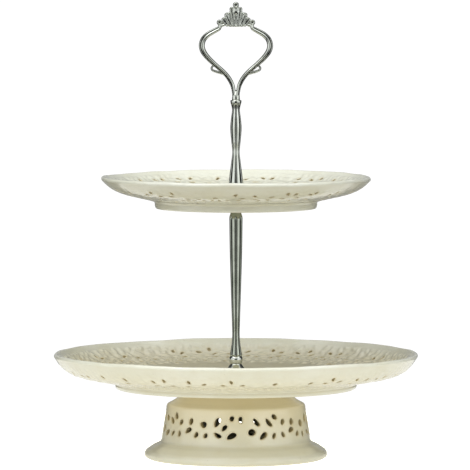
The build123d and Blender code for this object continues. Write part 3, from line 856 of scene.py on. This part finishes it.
def crown(top_z):
    """The palmette: leaves that fan out from a scalloped base between two scrolls, and a ring on top."""
    work = bmesh.new()

    def bar(a, b, radius_a, radius_b, depth):
        for side in (-1, 1) if a[0] or b[0] else (1,):
            ends = [(side * x, top_z + z) for x, z in (a, b)]
            capsule(work, *ends, radius_a, radius_b, depth)

    # leaf fingers, each between two rails that close round its tip: base, tip and half widths there
    for base, tip, narrow, wide in (
        ((0.0, 54.6), (0.0, 66.8), 0.7, 1.1),
        ((1.7, 54.6), (3.2, 67.2), 0.6, 1.15),
        ((3.7, 54.7), (6.7, 62.8), 0.7, 1.4),
        ((6.2, 54.9), (9.1, 59.4), 0.7, 1.2),
    ):
        base, tip = np.array(base), np.array(tip)
        ahead = (tip - base) / np.linalg.norm(tip - base)
        across = np.array((ahead[1], -ahead[0]))
        bar(base, tip, narrow, wide, 0.95)
        rails = [base - narrow * across, tip - wide * across]
        rails += [tip + wide * (sin(t) * ahead - cos(t) * across) for t in np.linspace(0, pi, 7)[1:-1]]
        rails += [tip + wide * across, base + narrow * across]
        for a, b in zip(rails, rails[1:]):
            bar(tuple(a), tuple(b), 0.46, 0.46, 2.9)
    # the scalloped base, and the backs that fill between the leaves
    scallops = ((0.0, 54.9, 0.95), (2.2, 55.1, 0.8), (4.4, 55.0, 0.9), (6.6, 55.2, 0.85), (8.6, 55.4, 0.8))
    for x, z, radius in scallops:
        bar((x, z), (x, z + 0.01), radius, radius, 1.2)
    backs = (((1.0, 55.0), (1.6, 67.0)), ((2.9, 55.0), (4.9, 64.2)), ((5.2, 55.2), (7.9, 60.8)))
    for a, b in (*backs, ((2.0, 56), (9.9, 57.4))):
        bar(a, b, 0.9, 1.0, 0.8)
    # scrolls, and what joins them to the arms and the palmette
    x, z = 12.15, 57.3
    ring = [(1.5 * cos(t), 1.5 * sin(t)) for t in np.linspace(0, 2 * pi, 21)]
    for a, b in zip(ring, ring[1:]):
        bar((x + a[0], z + a[1]), (x + b[0], z + b[1]), 0.62, 0.62, 3.0)
    bar((x, z), (x, z + 0.01), 1.3, 1.3, 0.8)
    bar((12.0, 53.4), (12.3, 55.8), 1.35, 0.9, 1.7)
    bar((8.6, 55.6), (11.2, 54.6), 1.0, 1.1, 1.2)
    # the ring at the top
    z = 70.15
    ring = [(1.55 * cos(t), 1.55 * sin(t)) for t in np.linspace(0, 2 * pi, 25)]
    for a, b in zip(ring, ring[1:]):
        capsule(work, (a[0], top_z + z + a[1]), (b[0], top_z + z + b[1]), 0.78, 0.78, 2.0)
    bar((0.0, z), (0.0, z + 0.01), 1.4, 1.4, 0.75)
    bar((0.0, 65.6), (0.0, 68.8), 3.0, 1.6, 0.6)
    return merged("crown_fuse", work, voxel=0.2, smooth=3, keep=0.6)


def handle(materials):
    """Two arms that leave the boss side by side, open into a loop and carry the palmette."""
    low, high = place("handle")
    top_z = low.z
    builder = Builder()
    for side in (-1, 1):
        limb(builder, ARM, side, top_z, sections=110, shape=two_ribs)
        limb(builder, SPUR, side, top_z, sections=56, shape=grooved_oval)
    boss = lifted(top_z, [(2.0, 0), (2.75, 0), (2.95, 0.5), (2.8, 3.4), (1.6, 6.6), (0.05, 7.4)])
    boss = rounded(boss, [0.2, 0.4, 1.2, 0.8])
    builder.revolve([(0.02, top_z + 6.2), (2.0, top_z + 5.6), *boss], 48)
    points, faces = crown(top_z)
    builder.add(points, faces, 0.15)

    def bend(points):
        out = points.copy()
        for axis, least, most in ((0, low.x, high.x), (1, low.y, high.y), (2, low.z, high.z)):
            out[:, axis] = np.clip(out[:, axis], least + 0.03, most - 0.03)
        return out

    bright = materials["casting"]
    return builder.finish("handle_piece", bright, "handle", "handle", bend=bend, slot="plated_casting")


# ---------------- materials
def linear(r, g, b):
    """A screen colour, 0 to 255, as linear light."""
    return (*(((v / 255 + 0.055) / 1.055) ** 2.4 for v in (r, g, b)), 1.0)


class Graph:
    """A node tree and its arithmetic."""

    def __init__(self, tree):
        self.nodes, self.links = tree.nodes, tree.links

    def join(self, source, target):
        self.links.new(source, target)

    def maths(self, way, *values):
        """A sum, product or other way of putting numbers or sockets together."""
        node = self.nodes.new("ShaderNodeMath")
        node.operation = way
        for index, value in enumerate(values):
            if isinstance(value, (int, float)):
                node.inputs[index].default_value = value
            else:
                self.join(value, node.inputs[index])
        return node.outputs[0]


class Surface(Graph):
    """A node material around one Principled shader, in object space."""

    def __init__(self, name):
        self.material = bpy.data.materials.new(name)
        self.material.use_nodes = True
        super().__init__(self.material.node_tree)
        self.shader = self.nodes["Principled BSDF"]
        self.place = self.nodes.new("ShaderNodeTexCoord").outputs["Object"]

    def set(self, **values):
        """Sets the shader's own sockets."""
        for name, value in values.items():
            self.shader.inputs[name.replace("_", " ")].default_value = value

    def colour(self, source):
        self.join(source, self.shader.inputs["Base Color"])

    def rough(self, source, low, high):
        """Roughness from low to high where source goes from 0.3 to 0.7."""
        self.join(self.ranged(source, 0.3, 0.7, low, high), self.shader.inputs["Roughness"])

    def noise(self, scale, detail=3.0, rough=0.5, stretch=None, distort=0.0):
        texture = self.nodes.new("ShaderNodeTexNoise")
        values = {"Scale": scale, "Detail": detail, "Roughness": rough, "Distortion": distort}
        for name, value in values.items():
            texture.inputs[name].default_value = value
        where = self.place
        if stretch:
            mapping = self.nodes.new("ShaderNodeMapping")
            mapping.inputs["Scale"].default_value = stretch
            self.join(where, mapping.inputs["Vector"])
            where = mapping.outputs["Vector"]
        self.join(where, texture.inputs["Vector"])
        return texture.outputs["Fac"]

    def ranged(self, source, low, high, to_low, to_high):
        """source between low and high as a value between to_low and to_high."""
        node = self.nodes.new("ShaderNodeMapRange")
        for name, value in zip(("From Min", "From Max", "To Min", "To Max"), (low, high, to_low, to_high)):
            node.inputs[name].default_value = value
        self.join(source, node.inputs["Value"])
        return node.outputs["Result"]

    def mixed(self, share, first, second):
        """first and second mixed by a socket that gives second's share."""
        node = self.nodes.new("ShaderNodeMix")
        node.data_type = "RGBA"
        slots = {s.name: s for s in node.inputs if s.type == "RGBA"}
        for name, value in (("A", first), ("B", second)):
            if isinstance(value, tuple):
                slots[name].default_value = value
            else:
                self.join(value, slots[name])
        self.join(share, node.inputs[0])
        return next(s for s in node.outputs if s.type == "RGBA")

    def attribute(self, name):
        node = self.nodes.new("ShaderNodeAttribute")
        node.attribute_name = name
        return node.outputs["Fac"]

    def cavity(self, reach):
        """How open the surface is to its surroundings, 0 to 1, within reach."""
        node = self.nodes.new("ShaderNodeAmbientOcclusion")
        node.samples, node.only_local = 6, True
        node.inputs["Distance"].default_value = reach
        return node.outputs["AO"]

    def bump(self, *layers):
        """Layers of (height, strength, depth in metres), the coarsest first."""
        normal = None
        for height, strength, depth in layers:
            node = self.nodes.new("ShaderNodeBump")
            node.inputs["Strength"].default_value = strength
            node.inputs["Distance"].default_value = depth
            self.join(height, node.inputs["Height"])
            if normal:
                self.join(normal, node.inputs["Normal"])
            normal = node.outputs["Normal"]
        self.join(normal, self.shader.inputs["Normal"])


def glaze(name, under, level_shade, shade_tint):
    """Cream ware under a clear glaze that pools a little darker round the holes, with painted shade in the
    hollows, in the hole walls, on surfaces that face down and by height.

    under is how far painted shade turns surfaces that face down towards the shade colour, and the height
    argument how far it turns the others, as two (height in metres, share) stops.
    """
    s = Surface(name)
    broad = s.noise(17, detail=2.0)
    cloud = s.noise(70, detail=4.0, rough=0.6)
    body = s.mixed(s.ranged(broad, 0.35, 0.68, 0.0, 1.0), linear(236, 235, 219), linear(231, 230, 210))
    body = s.mixed(s.ranged(cloud, 0.45, 0.75, 0.0, 0.4), body, linear(224, 218, 192))
    # painted shade: surfaces that face down, and the others by height, turn towards the shade colour
    facing = s.nodes.new("ShaderNodeSeparateXYZ")
    s.join(s.nodes.new("ShaderNodeNewGeometry").outputs["Normal"], facing.inputs[0])
    painted_shade_below = s.ranged(facing.outputs["Z"], -0.9, -0.1, under, 0.0)
    level = s.nodes.new("ShaderNodeSeparateXYZ")
    s.join(s.place, level.inputs[0])
    (low, low_share), (high, high_share) = level_shade
    by_height = s.ranged(level.outputs["Z"], low, high, low_share, high_share)
    painted_shade_by_level = s.maths("MULTIPLY", s.ranged(facing.outputs["Z"], -0.3, 0.0, 0.0, 1.0), by_height)
    body = s.mixed(s.maths("ADD", painted_shade_below, painted_shade_by_level), body, shade_tint)
    # glaze pooled round the holes, and painted shade in the hole walls, darker brown
    pooling_and_shade = s.attribute("glaze")
    body = s.mixed(s.ranged(pooling_and_shade, 0.25, 1.6, 0.0, 0.55), body, linear(196, 176, 120))
    # painted shade: darker in the hollows and creases, from the ambient-occlusion node
    body = s.mixed(s.ranged(s.cavity(0.006), 0.35, 0.95, 0.4, 0.0), body, linear(176, 158, 108))
    speck = s.ranged(s.noise(900, detail=2.0), 0.735, 0.76, 0.0, 0.35)
    body = s.mixed(speck, body, linear(150, 128, 84))
    s.colour(body)
    s.rough(cloud, 0.13, 0.24)
    s.set(IOR=1.52, Coat_Weight=0.35, Coat_Roughness=0.05)
    s.bump((s.noise(36, detail=2.0), 0.35, 0.0012), (s.noise(260, detail=3.0), 0.16, 0.0003))
    return s.material


def casting(name, crest, worn):
    """Plating over a cast body: bright on the crests, with painted shade near-black in the grooves and darker
    in the recesses.
    """
    s = Surface(name)
    cloud = s.noise(120, detail=3.0)
    metal = s.mixed(s.ranged(cloud, 0.35, 0.7, 0.0, 1.0), crest, worn)
    # painted shade: near-black in the grooves, from each vertex's glaze value
    groove = s.ranged(s.attribute("glaze"), 0.2, 0.9, 0.0, 0.95)
    metal = s.mixed(groove, metal, linear(26, 27, 22))
    # painted shade: darker in the recesses, from the ambient-occlusion node
    metal = s.mixed(s.ranged(s.cavity(0.0018), 0.2, 0.75, 0.75, 0.0), metal, linear(58, 58, 46))
    s.colour(metal)
    s.rough(cloud, 0.13, 0.22)
    s.set(Metallic=1.0)
    s.bump((s.noise(150, detail=2.0), 0.2, 0.0003))
    return s.material


def zinc():
    """Bright zinc on drawn or stamped steel."""
    s = Surface("zinc_steel")
    grain = s.noise(500, detail=3.0, stretch=(1, 1, 0.15))
    s.colour(s.mixed(s.ranged(grain, 0.3, 0.7, 0, 1), linear(196, 196, 192), linear(164, 166, 166)))
    s.rough(grain, 0.24, 0.42)
    s.set(Metallic=1.0)
    s.bump((grain, 0.2, 0.0001))
    return s.material


def rubber():
    """Black seal rubber with a little dust."""
    s = Surface("seal_rubber")
    dust = s.noise(240, detail=4.0)
    s.colour(s.mixed(s.ranged(dust, 0.4, 0.75, 0, 1), linear(34, 34, 35), linear(66, 65, 62)))
    s.rough(dust, 0.6, 0.85)
    s.bump((s.noise(1800, detail=2.0), 0.3, 0.0001))
    return s.material


def nylon():
    """Natural, slightly milky nylon."""
    s = Surface("nylon")
    cloud = s.noise(300, detail=2.0)
    s.colour(s.mixed(s.ranged(cloud, 0.3, 0.7, 0, 1), linear(236, 234, 224), linear(222, 220, 206)))
    s.rough(cloud, 0.35, 0.5)
    s.set(Subsurface_Weight=0.12, Subsurface_Scale=0.001)
    s.bump((s.noise(900, detail=2.0), 0.12, 0.0001))
    return s.material


def felt():
    """Pressed, undyed felt."""
    s = Surface("felt")
    fibre = s.noise(2600, detail=4.0, rough=0.7, distort=1.2)
    s.colour(s.mixed(s.ranged(fibre, 0.3, 0.7, 0, 1), linear(214, 209, 192), linear(176, 170, 150)))
    s.rough(fibre, 0.85, 1.0)
    s.set(Sheen_Weight=0.4)
    s.bump((fibre, 0.6, 0.0002), (s.noise(420), 0.3, 0.0003))
    return s.material


CARRIED = {
    "rubber": ("base_rubber_washer",),
    "felt": ("lower_plate_cushion_disc",),
    "nylon": ("lower_plate_top_washer", "upper_plate_bottom_washer", "upper_plate_top_washer"),
    "zinc": ("upper_plate_support_washer", "base_steel_washer", "base_screw", "upper_stud", "handle_stud"),
}


def clothe(materials):
    """Gives the CAD nodes that stay on show their materials."""
    for finish, nodes in CARRIED.items():
        for node in nodes:
            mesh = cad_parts[node].data
            mesh.materials.clear()
            mesh.materials.append(materials[finish])


# ---------------- studio
def room_light():
    """A large soft light over the viewer and a bright wall on either side; the camera sees plain white."""
    world = bpy.data.worlds.new("studio")
    bpy.context.scene.world = world
    world.use_nodes = True
    room = Graph(world.node_tree)
    nodes, maths = room.nodes, room.maths
    nodes.clear()
    out = nodes.new("ShaderNodeOutputWorld")
    where = nodes.new("ShaderNodeTexCoord").outputs["Generated"]
    parts = nodes.new("ShaderNodeSeparateXYZ")
    room.join(where, parts.inputs[0])

    def ramp(source, stops):
        node = nodes.new("ShaderNodeValToRGB")
        node.color_ramp.interpolation = "EASE"
        while len(node.color_ramp.elements) < len(stops):
            node.color_ramp.elements.new(1.0)
        for element, (at, level) in zip(node.color_ramp.elements, stops):
            element.position = at
            element.color = (level, level, level, 1)
        room.join(source, node.inputs[0])
        return node.outputs[0]

    # 0 towards the viewer, 1 behind the object; and 0 straight down, 1 straight up
    bearing = maths("ARCTAN2", parts.outputs["X"], maths("MULTIPLY", parts.outputs["Y"], -1.0))
    round_share = maths("DIVIDE", maths("ABSOLUTE", bearing), pi)
    upward = maths("ADD", maths("MULTIPLY", parts.outputs["Z"], 0.5), 0.5)
    # bright walls to the left and right of the viewer, for the metal to mirror
    stops = [(0.0, 0.02), (0.11, 0.04), (0.17, 1.4), (0.48, 1.1), (0.57, 0.08), (0.85, 0.05), (0.95, 0.3)]
    walls = ramp(round_share, stops)
    low = ramp(upward, [(0.28, 0.1), (0.43, 1.0), (0.62, 1.0), (0.68, 0.0)])
    # a large light over the viewer
    front = ramp(round_share, [(0.0, 1.0), (0.4, 1.0), (0.56, 0.07)])
    aloft = ramp(upward, [(0.6, 0.0), (0.68, 0.28), (0.83, 0.35), (0.87, 1.0), (0.94, 1.0), (0.97, 0.2)])
    total = maths("MULTIPLY", walls, low)
    total = maths("ADD", total, maths("MULTIPLY", maths("MULTIPLY", front, aloft), 2.5))
    total = maths("ADD", total, ramp(upward, [(0.88, 0.0), (0.96, 0.75)]))
    light = nodes.new("ShaderNodeBackground")
    light.inputs["Color"].default_value = (0.975, 1.0, 1.03, 1)
    room.join(total, light.inputs["Strength"])
    white = nodes.new("ShaderNodeBackground")
    white.inputs["Color"].default_value = (1, 1, 1, 1)
    white.inputs["Strength"].default_value = 1.05
    seen = nodes.new("ShaderNodeMixShader")
    room.join(nodes.new("ShaderNodeLightPath").outputs["Is Camera Ray"], seen.inputs[0])
    room.join(light.outputs[0], seen.inputs[1])
    room.join(white.outputs[0], seen.inputs[2])
    room.join(seen.outputs[0], out.inputs[0])


def floor():
    """A pale disc that glows a little, as a lit sweep does, except in the pedestal's shade."""
    reach, count = 0.4, 96
    shade_r, lit_r, glow = 0.058, 0.064, 0.43
    rim = [(reach * cos(2 * pi * k / count), reach * sin(2 * pi * k / count), 0) for k in range(count)]
    floor_mesh = bpy.data.meshes.new("floor")
    floor_mesh.from_pydata(rim, [], [tuple(range(count))])
    disc = shown("floor", floor_mesh)
    s = Surface("floor")
    s.colour(s.mixed(s.ranged(s.noise(3.0), 0.4, 0.7, 0, 1), (0.62, 0.62, 0.6, 1), (0.6, 0.6, 0.58, 1)))
    length = s.nodes.new("ShaderNodeVectorMath")
    length.operation = "LENGTH"
    s.join(s.place, length.inputs[0])
    open_floor = s.ranged(length.outputs["Value"], shade_r, lit_r, 0.0, glow)
    bright = s.maths("ADD", open_floor, s.nodes.new("ShaderNodeLightPath").outputs["Is Camera Ray"])
    s.join(bright, s.shader.inputs["Emission Strength"])
    s.set(Roughness=0.9, Emission_Color=(1, 0.97, 0.87, 1))
    floor_mesh.materials.append(s.material)


def softbox(name, spot, aim, size, power):
    """A rectangular lamp at spot, turned towards aim."""
    data = bpy.data.lights.new(name, "AREA")
    data.shape, data.size, data.size_y = "RECTANGLE", size[0], size[1]
    data.energy = power
    lamp = shown(name, data)
    lamp.location = spot
    lamp.rotation_mode = "QUATERNION"
    lamp.rotation_quaternion = (Vector(aim) - Vector(spot)).to_track_quat("-Z", "Y")


def camera():
    """A long lens in front of the stand, a little above it."""
    data = bpy.data.cameras.new("camera")
    data.sensor_width, data.lens = 36.0, 461.9
    data.clip_start, data.clip_end = 0.1, 100
    eye = shown("camera", data)
    eye.location = (-0.0007, -4.45, 0.4405)
    eye.rotation_euler = (radians(90 - 3.53), 0, 0)
    bpy.context.scene.camera = eye
    view = bpy.context.scene.view_settings
    view.view_transform, view.look, view.exposure, view.gamma = "Standard", "None", 0.0, 1.0


# the colours that painted shade turns the glazes towards
SHADE_OCHRE, SHADE_CREAM = linear(198, 176, 116), linear(250, 230, 178)
materials = {
    "lower_glaze": glaze("cream_glaze_lower", under=0.24, level_shade=((0.068, 0.36), (0.077, 0.04)), shade_tint=SHADE_OCHRE),
    "upper_glaze": glaze("cream_glaze_upper", under=0.13, level_shade=((0.19, 0.08), (0.21, 0.0)), shade_tint=SHADE_OCHRE),
    "base_glaze": glaze("cream_glaze_base", under=0.1, level_shade=((0.012, 0.1), (0.05, 0.66)), shade_tint=SHADE_CREAM),
    "casting": casting("plated_casting", linear(206, 209, 200), linear(188, 191, 179)),
    # a darker copy of the plating for the lower stem: painted shade under the upper plate
    "column": casting("plated_column_painted_shade", linear(172, 176, 162), linear(150, 155, 140)),
    "zinc": zinc(),
    "rubber": rubber(),
    "nylon": nylon(),
    "felt": felt(),
}
plates(materials)
pedestal(materials)
lower_stem(materials)
stem_foot(materials)
upper_stem(materials)
handle(materials)
clothe(materials)
room_light()
floor()
softbox("key", (-0.7, -1.1, 1.5), (0, 0, 0.15), (0.8, 0.8), 5.0)
softbox("fill", (1.2, -0.9, 0.7), (0, 0, 0.12), (0.7, 0.9), 0.5)
camera()
